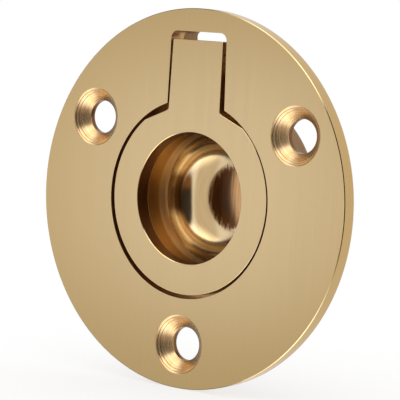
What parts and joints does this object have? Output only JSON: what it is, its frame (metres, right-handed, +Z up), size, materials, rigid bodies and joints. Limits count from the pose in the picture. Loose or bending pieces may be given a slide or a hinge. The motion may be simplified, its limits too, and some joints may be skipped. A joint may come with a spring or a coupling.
{
  "type": "flush ring pull",
  "caption": "Round brass flush ring pull: a flat ring on a tab, hinged in a keyhole recess over a rounded finger cup, in a plate with countersunk screw holes and a drum behind.",
  "frame": {"origin": "centre of the plate's back face, which lies against the door", "axes": "-Y out of the door, the way the plate's face looks; +Z up, towards the hinge; +X right, seen from the front"},
  "size_m": [0.05, 0.0121, 0.05],
  "materials": {
    "satin_brass": "satin brushed face, polished cup",
    "ring_brass": "satin brushed",
    "pin_brass": "drawn rod"
  },
  "bodies": {
    "plate": {"backplate": "satin_brass", "hinge_pin": "pin_brass"},
    "ring": {"ring_handle": "ring_brass"}
  },
  "joints": [
    {"name": "ring_hinge", "type": "hinge", "parent": "plate", "child": "ring", "pos_m": [0.00025, -0.00115, 0.0186], "axis": [-1, 0, 0], "range_deg": [0, 100]}
  ]
}
